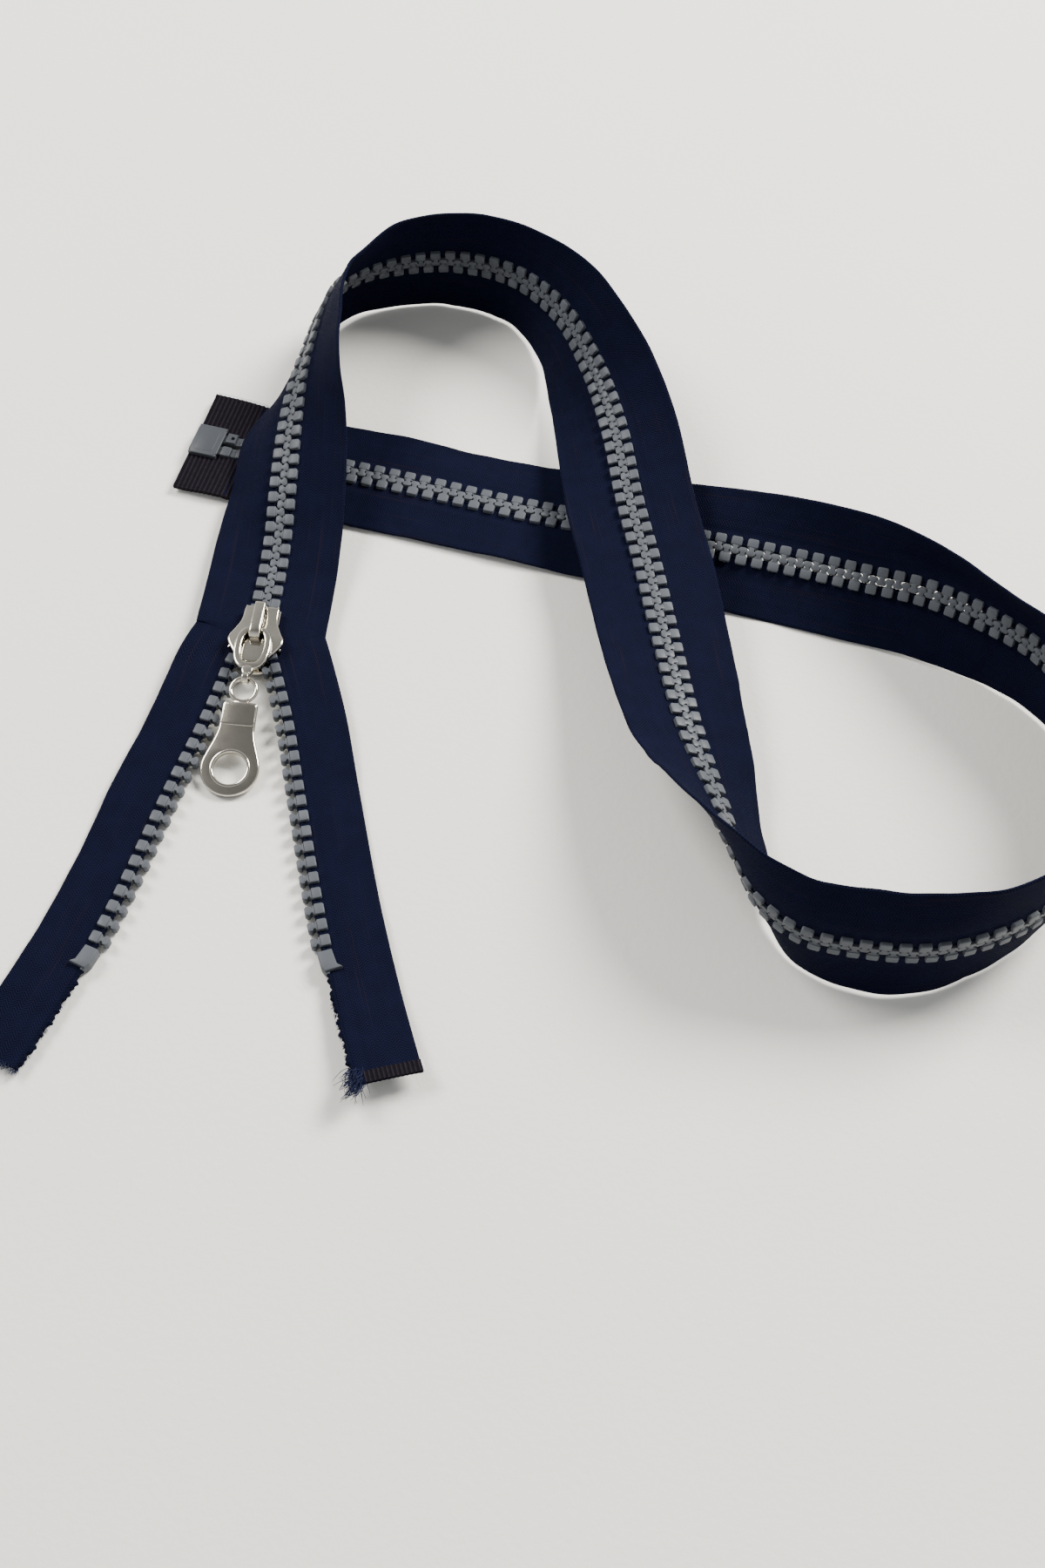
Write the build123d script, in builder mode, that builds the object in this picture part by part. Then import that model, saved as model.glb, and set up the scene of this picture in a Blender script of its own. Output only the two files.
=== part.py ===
"""Open-end jacket zipper with moulded teeth, half open, lying in two loose loops.

Millimetres, +Z up. The origin is on the surface it lies on, under the middle of its outline.
The chain lies along one route, given by hand-chosen stations from the slider to the retainer box;
each tape leaves the route at the slider and follows its own open leg.
"""
from build123d import *
from bisect import bisect_right
from math import atan2, cos, degrees, radians, sin
import os

# ---- tape, cord and teeth (a number 5 moulded chain) ----
TAPE_EDGE = 14.0            # chain centre to the outer edge of a tape
TAPE_THICK = 0.6
CORD_INNER = 0.95           # chain centre to the near side of the edge cord
CORD_OUTER = 1.9            # the tape starts where its edge cord ends
CORD_THICK = 1.3
BEND_START = 3.2            # a tape stays in the plane of the chain up to here
BEND_END = 8.0              # and has its full bend from here outward
LEAST_BEND = 0.6            # degrees, a tape is never quite flat

PITCH = 3.6                 # tooth pitch of one row, the rows are half a pitch apart
BLOCK_OUTER = 3.0
BLOCK_INNER = 1.05
BLOCK_LENGTH = 2.4
BLOCK_THICK = 2.4
NECK_LENGTH = 1.1
HEAD_START = 0.08           # the heads start this far past the chain centre and reach HEAD_END
HEAD_END = 0.86
HEAD_LENGTH = 2.0
HEAD_CHAMFER = 0.35
HEAD_THICK = 1.7

STOP_LENGTH = 4.6
STOP_WIDTH = 3.5
STOP_THICK = 2.7

# ---- separating end ----
BOX_LENGTH = 6.8
BOX_WIDTH = 8.6
BOX_THICK = 2.6
BOX_WALL = 0.55
PIN_WIDTH = 2.4
PIN_THICK = 1.3
PIN_OFFSET = 1.75           # chain centre to the middle of a pin
PIN_REACH = 4.6             # how far a pin goes into the box
PIN_LENGTH = 11.5
FILM_THICK = 0.12
FILM_GAP = 0.01             # between a film and its tape
FILM_LENGTH = 22.0
FILM_INNER = 3.3
END_FILM_LENGTH = 2.4

# ---- slider ----
LIFT = 0.271                # brings the lowest tape edge up to the surface
SLIDER_HEIGHT = 2.9 + LIFT  # height of the slider's middle plane over the surface
SLIDER_HEADING = 6.5        # degrees from +Y towards +X
CAVITY_HALF = 1.45
WING_THICK = 1.2
WING_TOP = CAVITY_HALF + WING_THICK
RAIL_SLOT_HALF = 0.5
RAIL_WIDTH = 0.65
BRIDGE_WIDTH = 2.3
BRIDGE_UNDER = 4.5
BRIDGE_TOP = 5.4
LINK_PIVOT_Y = 0.4
LINK_PIVOT_Z = 3.55
LINK_TILT = 2.0             # the link slopes down to the south of its pivot
LINK_THICK = 1.1
LINK_HALF_WIDTH = 3.85
LINK_LENGTH = 9.9           # pivot to the southern end of the oval
LINK_WALL = 1.55
EYE_Y = -12.2               # pull tab pivot, along the link from the link's pivot
EYE_INNER = 0.75
EYE_OUTER = 1.35
EYE_WIDTH = 1.4
EYE_NECK = 2.3              # length of the neck between the oval and the eye
RING_WIRE = 0.45            # wire radius of the tab's ring
RING_RADIUS = 2.65
TAB_TILT = 12.2             # the tab's far end lies on the surface
TAB_THICK = 1.3
TAB_TOP_HALF = 3.6
TAB_ROUND = 6.05
TAB_HOLE = 3.45
TAB_LENGTH = 14.7           # plate's upper end to the middle of its hole
PAWL_SIZE = 1.0
PAWL_Y = 3.4

# ---- the route: x, y, z, roll, bend of the left tape, bend of the right tape ----
# Roll turns the front face from up towards the left; a bend turns a tape's edge to the back.
CENTRE_X = 61.97            # middle of the outline, in the stations' own x and y
CENTRE_Y = 1.31
SLIDER_POINT = (1.2, 0.0)
CHAIN = [
    (2.2, 9, 2.9, 0, 0, 0),
    (2.6, 12.5, 2.9, 0, 0, 0),
    (3.05, 16.5, 3.0, 0, 0, 0),
    (3.9, 26, 4.2, 3, 6, 0),
    (4.7, 38.6, 7.8, 8, 24, 0),
    (6, 56, 11.4, 28, 14, 0),
    (7.5, 67.4, 13.2, 46, 22, 0),
    (9.2, 76.1, 13.9, 56, 30, 0),
    (11.5, 86.6, 14.2, 64, 30, 0),
    (14.3, 93.6, 14.3, 66, 28, 0),
    (19, 97.8, 14.3, 68, 26, 0),
    (29, 101.8, 14.3, 82, 9, 0),
    (40, 103, 14.3, 90, 0, 0),
    (56, 98, 14.2, 100, 0, 0),
    (66, 88, 13.6, 114, 0, 0),
    (73.5, 71, 12.5, 135, 0, 0),
    (78, 52, 11.8, 158, 0, 0),
    (81, 31, 10.5, 173, 0, 0),
    (84, 15, 10, 180, 0, 0),
    (87, -5, 10.5, 188, 0, 0),
    (91, -30, 12, 205, 0, 0),
    (94.5, -44, 13.2, 226, 0, 5),
    (98, -57, 14.1, 246, 8, 22),
    (102, -68, 14.3, 262, 18, 18),
    (110, -75.5, 14.3, 270, 32, 2),
    (121, -78.3, 14.3, 271, 38, -12),
    (133, -79, 14.3, 272, 32, -10),
    (144, -76.5, 14.4, 272, 10, 2),
    (154, -71.5, 14.4, 271, 8, 4),
    (164, -60, 14.4, 270, 6, 0),
    (170, -42, 14.4, 270, 0, 0),
    (170, -24, 14.4, 268, 6, 6),
    (162.5, -8.4, 13.2, 262, 34, 22),
    (154, 0, 11.6, 248, 44, 20),
    (144, 7.5, 9.6, 232, 46, 16),
    (129, 14, 7.2, 215, 24, 10),
    (105, 22.5, 5.1, 205, 0, 6),
    (82, 30, 2.7, 190, 0, 4),
    (60, 36.3, 1.5, 181, -3, -2),
    (30, 45, 1.4, 180, -4, -4),
    (4, 52, 1.4, 180, -4, -4),
    (-9, 55.6, 1.4, 180, 0, 0),
    (-17.5, 58, 1.4, 180, 0, 0),
]
LEFT_LEG = [
    (-35.5, -98, 1.4, 0, 4, 0),
    (-27, -80, 1.4, 0, 4, 0),
    (-21.5, -66, 1.4, 0, 4, 0),
    (-12, -36, 1.5, 0, 4, 0),
    (-6.4, -20, 2.1, 0, 2, 0),
    (-3.9, -12, 2.7, 0, 0, 0),
    (-2.4, -6.6, 2.9, 0, 0, 0),
    (-1.2, -3.8, 2.9, 0, 0, 0),
    (-0.2, -1.8, 2.9, 0, 0, 0),
    (0.85, 0.3, 2.9, 0, 0, 0),
    (1.5, 2.6, 2.9, 0, 0, 0),
    (1.8, 5.3, 2.9, 0, 0, 0),
]
RIGHT_LEG = [
    (25.5, -102.3, 4.4, 0, 0, 4),
    (20.5, -84, 2.1, 0, 0, 4),
    (17, -70, 1.4, 0, 0, 4),
    (10.2, -37, 1.5, 0, 0, 4),
    (6.8, -20, 2.1, 0, 0, 2),
    (4.7, -12, 2.7, 0, 0, 0),
    (3.2, -6.6, 2.9, 0, 0, 0),
    (2.35, -3.8, 2.9, 0, 0, 0),
    (1.8, -1.8, 2.9, 0, 0, 0),
    (1.45, 0.3, 2.9, 0, 0, 0),
    (1.55, 2.6, 2.9, 0, 0, 0),
    (1.8, 5.3, 2.9, 0, 0, 0),
]
TAIL_LEFT = 25.0            # tape past the first tooth of an open leg
TAIL_RIGHT = 28.0
CHAIN_START = 14.8          # retainer box end of the tapes to the first tooth
BOX_AT = 3.2                # end of the tapes to the middle of the box
SECTION_STEP = 3.6
SAMPLES = 24                # samples of the route's length in each span


class Route:
    """A smooth curve through stations, read by its length from the retainer box end."""

    def __init__(self, stations):
        self.values = list(reversed(stations))
        gaps = []
        for a, b in zip(self.values, self.values[1:]):
            gaps.append((Vector(*b[:3]) - Vector(*a[:3])).length)
        self.slopes = self._slopes(gaps)
        self.gaps = gaps
        self.marks = [0.0]
        self.keys = [(0, 0.0)]
        before = Vector(*self.values[0][:3])
        for span in range(len(gaps)):
            for k in range(1, SAMPLES + 1):
                here = Vector(*self._value(span, k / SAMPLES)[:3])
                self.marks.append(self.marks[-1] + (here - before).length)
                self.keys.append((span, k / SAMPLES))
                before = here
        self.length = self.marks[-1]

    def _slopes(self, gaps):
        v = self.values
        steps = [[(b - a) / g for a, b in zip(v[i], v[i + 1])] for i, g in enumerate(gaps)]
        slopes = [steps[0]]
        for i in range(1, len(steps)):
            near, far = gaps[i - 1], gaps[i]
            slopes.append([(p * far + q * near) / (near + far) for p, q in zip(steps[i - 1], steps[i])])
        return slopes + [steps[-1]]

    def _value(self, span, u):
        gap = self.gaps[span]
        w0 = 2 * u**3 - 3 * u**2 + 1
        w1 = u**3 - 2 * u**2 + u
        w2 = -2 * u**3 + 3 * u**2
        w3 = u**3 - u**2
        ends = zip(self.values[span], self.slopes[span], self.values[span + 1], self.slopes[span + 1])
        return [w0 * a + w1 * gap * m + w2 * b + w3 * gap * n for a, m, b, n in ends]

    def value(self, s):
        """x, y, z, roll and bends at length s from the box end."""
        i = min(max(bisect_right(self.marks, s), 1), len(self.marks) - 1)
        share = (s - self.marks[i - 1]) / (self.marks[i] - self.marks[i - 1])
        span, end = self.keys[i]
        return self._value(span, end - (1 - share) / SAMPLES)

    def frame(self, s, side):
        """Point, direction towards this side's edge, front normal, and bend, at length s."""
        reach = 0.4
        behind = self.value(max(s - reach, 0.0))
        ahead = self.value(min(s + reach, self.length))
        x, y, z, roll, bend_left, bend_right = self.value(s)
        heading = (Vector(*behind[:3]) - Vector(*ahead[:3])).normalized()
        upright = (Vector(0, 0, 1) - heading * heading.Z).normalized()
        left = upright.cross(heading)
        normal = upright * cos(radians(roll)) + left * sin(radians(roll))
        edgeward = heading.cross(normal) * side
        bend = bend_right if side > 0 else bend_left
        return Vector(x - CENTRE_X, y - CENTRE_Y, z + LIFT), edgeward, normal, bend


LEFT, RIGHT = -1, 1
ROUTES = {LEFT: Route(LEFT_LEG + CHAIN), RIGHT: Route(RIGHT_LEG + CHAIN)}


def across(distance, bend):
    """Where a tape's middle plane is, outward and to the back, at a distance from the chain centre."""
    if distance <= BEND_START:
        return distance, 0.0, 0.0
    turn = radians(bend if abs(bend) > LEAST_BEND else LEAST_BEND)
    radius = (BEND_END - BEND_START) / turn
    share = min((distance - BEND_START) / (BEND_END - BEND_START), 1.0)
    angle = turn * share
    out = BEND_START + radius * sin(angle)
    back = radius * (1 - cos(angle))
    rest = max(distance - BEND_END, 0.0)
    return out + rest * cos(angle), -(back + rest * sin(angle)), -angle


def outline(distances, half, bend):
    """Closed outline of a bent strip's section: its front side out, its back side in."""
    front, back = [], []
    for d in distances:
        x, y, lean = across(d, bend)
        front.append((x - half * sin(lean), y + half * cos(lean)))
        back.append((x + half * sin(lean), y - half * cos(lean)))
    return front + back[::-1]


def section_plane(side, s):
    """The plane across a route at s: local X to the tape's edge, local Y to the front."""
    point, edgeward, normal, bend = ROUTES[side].frame(s, side)
    return Plane(origin=point, x_dir=edgeward, z_dir=edgeward.cross(normal)), bend


def strip_stations(start, end):
    count = max(round((end - start) / SECTION_STEP), 1)
    return [start + (end - start) * i / count for i in range(count + 1)]


def tooth_plane(side, s):
    """The chain's own plane at s: local X to the tape's edge, local Z to the front."""
    point, edgeward, normal, bend = ROUTES[side].frame(s, side)
    return Plane(origin=point, x_dir=edgeward, z_dir=normal)


def tooth_frames(side, first, last):
    """Planes of one row's teeth, from tooth number first up to but not including last."""
    shift = 0.0 if side == LEFT else PITCH / 2
    return [tooth_plane(side, CHAIN_START + shift + i * PITCH) for i in range(first, last)]


def finish(builder, name):
    builder.part.label = name
    export_step(builder.part, f"parts/{name}.step")


os.makedirs("parts", exist_ok=True)
SIDE_NAMES = {LEFT: "left", RIGHT: "right"}
TAILS = {LEFT: TAIL_LEFT, RIGHT: TAIL_RIGHT}
TOOTH_COUNT = {}
for side in (LEFT, RIGHT):
    toothed = ROUTES[side].length - CHAIN_START - TAILS[side]
    TOOTH_COUNT[side] = int(toothed // PITCH)

# ---- tapes and their edge cords ----
for side, side_name in SIDE_NAMES.items():
    tape_end = ROUTES[side].length

    with BuildPart() as tape:
        for s in strip_stations(0.0, tape_end):
            plane, bend = section_plane(side, s)
            with BuildSketch(plane):
                distances = (CORD_OUTER, BEND_START, BEND_END, TAPE_EDGE)
                Polygon(*outline(distances, TAPE_THICK / 2, bend), align=None)
        loft(ruled=True)
    finish(tape, f"{side_name}_tape")

    with BuildPart() as cord:
        for s in strip_stations(0.0, tape_end):
            plane, bend = section_plane(side, s)
            with BuildSketch(plane):
                Polygon(*outline((CORD_INNER, CORD_OUTER), CORD_THICK / 2, 0.0), align=None)
        loft(ruled=True)
    finish(cord, f"{side_name}_cord")

# ---- one tooth: a block moulded round the cord, a neck and a head ----
with BuildPart() as tooth:
    with BuildSketch():
        with Locations(((BLOCK_OUTER + BLOCK_INNER) / 2, 0)):
            Rectangle(BLOCK_OUTER - BLOCK_INNER, BLOCK_LENGTH)
    extrude(amount=BLOCK_THICK / 2, both=True)
    with BuildSketch():
        neck_end = BLOCK_INNER + 0.2
        with Locations(((neck_end + HEAD_START) / 2 - HEAD_START, 0)):
            Rectangle(neck_end + HEAD_START, NECK_LENGTH)
        with BuildLine():
            half_head = HEAD_LENGTH / 2
            Polyline(
                (-HEAD_START, -half_head),
                (-HEAD_START, half_head),
                (HEAD_CHAMFER - HEAD_END, half_head),
                (-HEAD_END, half_head - HEAD_CHAMFER),
                (-HEAD_END, HEAD_CHAMFER - half_head),
                (HEAD_CHAMFER - HEAD_END, -half_head),
                close=True,
            )
        make_face()
    extrude(amount=HEAD_THICK / 2, both=True)

# ---- rows of teeth: on the open leg, where the slider runs, and on the closed chain ----
SLIDER_BEHIND = 9.0         # the slider's stretch of teeth starts this far south of its middle
SLIDER_AHEAD = 23.0
for side, side_name in SIDE_NAMES.items():
    route = ROUTES[side]
    to_slider = [s for s in strip_stations(0.0, route.length) if route.value(s)[1] > SLIDER_AHEAD]
    closed_end = int((max(to_slider) - CHAIN_START) // PITCH)
    slider_end = closed_end + int((SLIDER_AHEAD + SLIDER_BEHIND) // PITCH)
    stretches = {
        "closed": (0, closed_end),
        "slider": (closed_end, slider_end),
        "open": (slider_end, TOOTH_COUNT[side]),
    }
    for stretch, (first, last) in stretches.items():
        with BuildPart() as row:
            with Locations(*[Location(plane) for plane in tooth_frames(side, first, last)]):
                add(tooth.part)
        finish(row, f"{side_name}_teeth_{stretch}")

    # the top stop closes the row on the open leg
    shift = 0.0 if side == LEFT else PITCH / 2
    stop_at = CHAIN_START + shift + TOOTH_COUNT[side] * PITCH + 0.6
    with BuildPart() as top_stop:
        with BuildSketch(tooth_plane(side, stop_at)):
            turn = 1 if side == LEFT else -1
            with BuildLine():
                Polyline(
                    (0.1, -turn * STOP_LENGTH * 0.4),
                    (STOP_WIDTH - 0.3, -turn * STOP_LENGTH * 0.4),
                    (STOP_WIDTH + 0.6, turn * STOP_LENGTH * 0.6),
                    (0.4, turn * STOP_LENGTH * 0.5),
                    close=True,
                )
            make_face()
        extrude(amount=STOP_THICK / 2, both=True)
    finish(top_stop, f"{side_name}_top_stop")

# ---- retainer box, its two pins and the stiff films at the separating end ----
box_plane = tooth_plane(LEFT, BOX_AT)           # local X to the left tape, local Y along the chain
along = 1 if box_plane.y_dir.X > 0 else -1
with BuildPart() as retainer_box:
    with BuildSketch(box_plane):
        RectangleRounded(BOX_WIDTH, BOX_LENGTH, 0.8)
    extrude(amount=BOX_THICK / 2, both=True)
    with BuildSketch(box_plane):
        with Locations((0, along * (BOX_LENGTH - PIN_REACH + 0.2) / 2)):
            Rectangle(BOX_WIDTH - 2 * BOX_WALL, PIN_REACH + 0.2)
    extrude(amount=BOX_THICK / 2 - BOX_WALL, both=True, mode=Mode.SUBTRACT)
finish(retainer_box, "retainer_box")

pin_middle = along * (BOX_LENGTH / 2 - PIN_REACH + PIN_LENGTH / 2)
for name, offset in (("box_pin", PIN_OFFSET), ("insertion_pin", -PIN_OFFSET)):
    with BuildPart() as pin:
        with BuildSketch(box_plane):
            with Locations((offset, pin_middle)):
                RectangleRounded(PIN_WIDTH, PIN_LENGTH, 0.4)
        extrude(amount=PIN_THICK / 2, both=True)
    finish(pin, name)


def film_outline(bend, face):
    """Section of a film lying on the front (1) or back (-1) of a tape."""
    low = TAPE_THICK / 2 + FILM_GAP
    points = []
    for reach, distances in (
        (low, (FILM_INNER, BEND_END, TAPE_EDGE)),
        (low + FILM_THICK, (TAPE_EDGE, BEND_END, FILM_INNER)),
    ):
        for d in distances:
            x, y, lean = across(d, bend)
            points.append((x - face * reach * sin(lean), y + face * reach * cos(lean)))
    return points


def make_film(side, start, end, name):
    with BuildPart() as film:
        for face in (1, -1):
            for s in strip_stations(start, end):
                plane, bend = section_plane(side, s)
                with BuildSketch(plane):
                    Polygon(*film_outline(bend, face), align=None)
            loft(ruled=True)
    finish(film, name)


for side, side_name in SIDE_NAMES.items():
    make_film(side, 0.02, FILM_LENGTH, f"box_film_{side_name}")
tail = ROUTES[RIGHT].length
make_film(RIGHT, tail - END_FILM_LENGTH, tail - 0.02, "end_film_right")

# ---- slider: two wings joined by the divider, with side rails that hold the rows together ----
heading = radians(SLIDER_HEADING)
slider_origin = Vector(SLIDER_POINT[0] - CENTRE_X, SLIDER_POINT[1] - CENTRE_Y, SLIDER_HEIGHT)
slider_plane = Plane(origin=slider_origin, x_dir=(cos(heading), -sin(heading), 0), z_dir=(0, 0, 1))
WING = [(3.7, 7.4), (3.9, 3.6), (5.9, -0.6), (5.95, -1.8), (4.6, -4.4), (2.6, -7.0)]
DIVIDER = [(0.1, -3.0), (0.5, -4.2), (1.1, -5.6), (1.3, -6.6)]
CHANNEL = [(3.3, 7.4), (3.4, 2.2), (3.95, 0.0), (4.65, -2.0), (5.2, -3.2)]


def both_sides(points):
    """A symmetric outline from its right half, listed from north to south."""
    return points + [(-x, y) for x, y in reversed(points)]


def slider_level(height):
    return slider_plane.offset(height)


with BuildPart() as slider_body:
    for bottom in (CAVITY_HALF, -WING_TOP):
        with BuildSketch(slider_level(bottom)):
            with BuildLine():
                Polyline(*both_sides(WING), close=True)
            make_face()
            fillet(vertices(), radius=0.6)
        extrude(amount=WING_THICK)
    for bottom in (RAIL_SLOT_HALF, -CAVITY_HALF):
        with BuildSketch(slider_level(bottom)):
            for turn in (1, -1):
                inner = [(turn * x, y) for x, y in CHANNEL]
                outer = [(turn * (x + RAIL_WIDTH), y) for x, y in reversed(CHANNEL)]
                with BuildLine():
                    Polyline(*inner, *outer, close=True)
                make_face()
        extrude(amount=CAVITY_HALF - RAIL_SLOT_HALF)
    with BuildSketch(slider_level(-CAVITY_HALF)):
        with BuildLine():
            Polyline(*both_sides(DIVIDER), close=True)
        make_face()
    extrude(amount=2 * CAVITY_HALF)
    with BuildSketch(slider_level(CAVITY_HALF)):
        with Locations((0, PAWL_Y)):
            Rectangle(PAWL_SIZE + 0.3, PAWL_SIZE + 0.3)
    extrude(amount=WING_THICK, mode=Mode.SUBTRACT)
finish(slider_body, "slider_body")

# ---- bridge over the top wing ----
side_plane = Plane(origin=slider_origin, x_dir=slider_plane.y_dir, z_dir=slider_plane.x_dir)
with BuildPart() as slider_bridge:
    with BuildSketch(side_plane):
        with BuildLine():
            Polyline(
                (7.2, WING_TOP),
                (7.2, BRIDGE_TOP - 0.9),
                (6.4, BRIDGE_TOP),
                (-0.9, BRIDGE_TOP),
                (-2.0, BRIDGE_TOP - 1.1),
                (-2.0, WING_TOP),
                (-1.1, WING_TOP),
                (-1.1, BRIDGE_UNDER - 0.5),
                (-0.6, BRIDGE_UNDER),
                (5.9, BRIDGE_UNDER),
                (6.3, BRIDGE_UNDER - 0.4),
                (6.3, WING_TOP),
                close=True,
            )
        make_face()
    extrude(amount=BRIDGE_WIDTH / 2, both=True)
finish(slider_bridge, "slider_bridge")

# ---- lock pawl and its leaf spring under the bridge ----
with BuildPart() as lock_pawl:
    with BuildSketch(slider_level(CAVITY_HALF - 0.4)):
        with Locations((0, PAWL_Y)):
            Rectangle(PAWL_SIZE, PAWL_SIZE)
    extrude(amount=WING_THICK + 0.5)
    with BuildSketch(slider_level(WING_TOP + 0.1)):
        with Locations((0, PAWL_Y)):
            Rectangle(1.6, 2.4)
    extrude(amount=0.6)
finish(lock_pawl, "lock_pawl")

with BuildPart() as lock_spring:
    with BuildSketch(side_plane):
        with BuildLine():
            Polyline(
                (6.2, WING_TOP + 0.05),
                (6.2, 4.15),
                (2.6, 3.75),
                (2.6, 3.55),
                (6.0, 3.95),
                (6.0, WING_TOP + 0.05),
                close=True,
            )
        make_face()
    extrude(amount=0.7, both=True)
finish(lock_spring, "lock_spring")

# ---- pull link: an oval under the bridge, with an eye for the tab's ring ----
pivot = slider_plane.from_local_coords(Vector(0, LINK_PIVOT_Y, LINK_PIVOT_Z))
tilt = radians(LINK_TILT)
north = slider_plane.y_dir
link_north = north * cos(tilt) + Vector(0, 0, 1) * sin(tilt)
link_plane = Plane(origin=pivot, x_dir=slider_plane.x_dir, z_dir=slider_plane.x_dir.cross(link_north))
link_side = Plane(origin=pivot, x_dir=link_plane.y_dir, z_dir=link_plane.x_dir)
OVAL_NORTH = 0.6
with BuildPart() as pull_link:
    oval_length = LINK_LENGTH + OVAL_NORTH
    with BuildSketch(link_plane):
        with Locations((0, OVAL_NORTH - oval_length / 2)):
            RectangleRounded(2 * LINK_HALF_WIDTH, oval_length, 0.98 * LINK_HALF_WIDTH)
        hole_length = oval_length - 2 * OVAL_NORTH - LINK_WALL
        with Locations((0, -OVAL_NORTH - hole_length / 2)):
            hole_half = LINK_HALF_WIDTH - LINK_WALL
            RectangleRounded(2 * hole_half, hole_length, 0.98 * hole_half, mode=Mode.SUBTRACT)
        with Locations((0, (EYE_Y - LINK_LENGTH) / 2 + 0.2)):
            Rectangle(EYE_WIDTH, EYE_NECK)
    extrude(amount=LINK_THICK / 2, both=True)
    with BuildSketch(link_side):
        with Locations((EYE_Y, 0)):
            Circle(EYE_OUTER)
    extrude(amount=EYE_WIDTH / 2, both=True)
    with BuildSketch(link_side):
        with Locations((EYE_Y, 0)):
            Circle(EYE_INNER)
    extrude(amount=EYE_WIDTH, both=True, mode=Mode.SUBTRACT)
finish(pull_link, "pull_link")

# ---- pull tab: a ring through the link's eye and a plate with a round hole ----
eye = link_plane.from_local_coords(Vector(0, EYE_Y, 0))
tab_tilt = radians(TAB_TILT)
tab_north = north * cos(tab_tilt) + Vector(0, 0, 1) * sin(tab_tilt)
tab_plane = Plane(origin=eye, x_dir=slider_plane.x_dir, z_dir=slider_plane.x_dir.cross(tab_north))
plate_top = -2 * RING_RADIUS - RING_WIRE + 0.25
hole_y = plate_top - TAB_LENGTH
with BuildPart() as pull_tab:
    with BuildSketch(tab_plane.offset(-TAB_THICK / 2)):
        with BuildLine():
            Polyline(
                (TAB_TOP_HALF, plate_top),
                (TAB_TOP_HALF + 0.2, plate_top - 6.2),
                (TAB_ROUND * cos(radians(25)), hole_y + TAB_ROUND * sin(radians(25))),
                (-TAB_ROUND * cos(radians(25)), hole_y + TAB_ROUND * sin(radians(25))),
                (-TAB_TOP_HALF - 0.2, plate_top - 6.2),
                (-TAB_TOP_HALF, plate_top),
                close=True,
            )
        make_face()
        with Locations((0, hole_y)):
            Circle(TAB_ROUND)
            Circle(TAB_HOLE, mode=Mode.SUBTRACT)
    extrude(amount=TAB_THICK)
    with BuildSketch(Plane(origin=eye - tab_north * RING_RADIUS, x_dir=tab_plane.x_dir, z_dir=tab_north)):
        with Locations((RING_RADIUS, 0)):
            Circle(RING_WIRE)
    revolve(axis=Axis(eye - tab_north * RING_RADIUS, tab_plane.z_dir))
finish(pull_tab, "pull_tab")
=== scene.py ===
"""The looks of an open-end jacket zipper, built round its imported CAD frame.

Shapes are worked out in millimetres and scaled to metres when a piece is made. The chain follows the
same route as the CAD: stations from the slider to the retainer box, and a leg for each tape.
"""

from math import cos, pi, radians, sin

import bmesh
import bpy
import numpy as np
from mathutils import Matrix, Vector


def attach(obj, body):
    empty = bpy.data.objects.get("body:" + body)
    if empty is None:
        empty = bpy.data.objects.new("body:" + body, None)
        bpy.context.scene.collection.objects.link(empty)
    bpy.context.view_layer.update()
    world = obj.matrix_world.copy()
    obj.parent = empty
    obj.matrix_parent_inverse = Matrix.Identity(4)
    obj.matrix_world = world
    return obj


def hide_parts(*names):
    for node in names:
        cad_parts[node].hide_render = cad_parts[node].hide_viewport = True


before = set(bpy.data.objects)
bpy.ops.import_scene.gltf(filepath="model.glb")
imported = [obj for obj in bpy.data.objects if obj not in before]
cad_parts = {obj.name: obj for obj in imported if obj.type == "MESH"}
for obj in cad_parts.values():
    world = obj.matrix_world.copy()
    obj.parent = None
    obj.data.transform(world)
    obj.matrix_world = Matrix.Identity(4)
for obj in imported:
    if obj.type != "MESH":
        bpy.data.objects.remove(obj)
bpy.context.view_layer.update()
MM = 0.001
RANDOM = np.random.default_rng(7)
LEFT, RIGHT = -1, 1
SIDE_NAMES = {LEFT: "left", RIGHT: "right"}

# ---- driving dimensions, as in the CAD: millimetres, degrees, distances from the chain centre ----
TAPE_EDGE = 14.0
TAPE_THICK = 0.6
CORD_INNER = 0.95
CORD_OUTER = 1.9
CORD_THICK = 1.3
BEND_START = 3.2
BEND_END = 8.0
LEAST_BEND = 0.6
PITCH = 3.6
CHAIN_START = 14.8
TAILS = {LEFT: 25.0, RIGHT: 28.0}
SLIDER_BEHIND = 9.0
SLIDER_AHEAD = 23.0
BOX_AT = 3.2
BOX_WIDTH = 8.6
BOX_LENGTH = 6.8
BOX_WALL = 0.6
FILM_LENGTH = 22.0
FILM_INNER = 3.3
END_FILM_LENGTH = 2.4
CENTRE = np.array([61.97, 1.31, -0.271])
SLIDER_POINT = (1.2, 0.0, 2.9)
SLIDER_HEADING = 6.5

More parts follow.
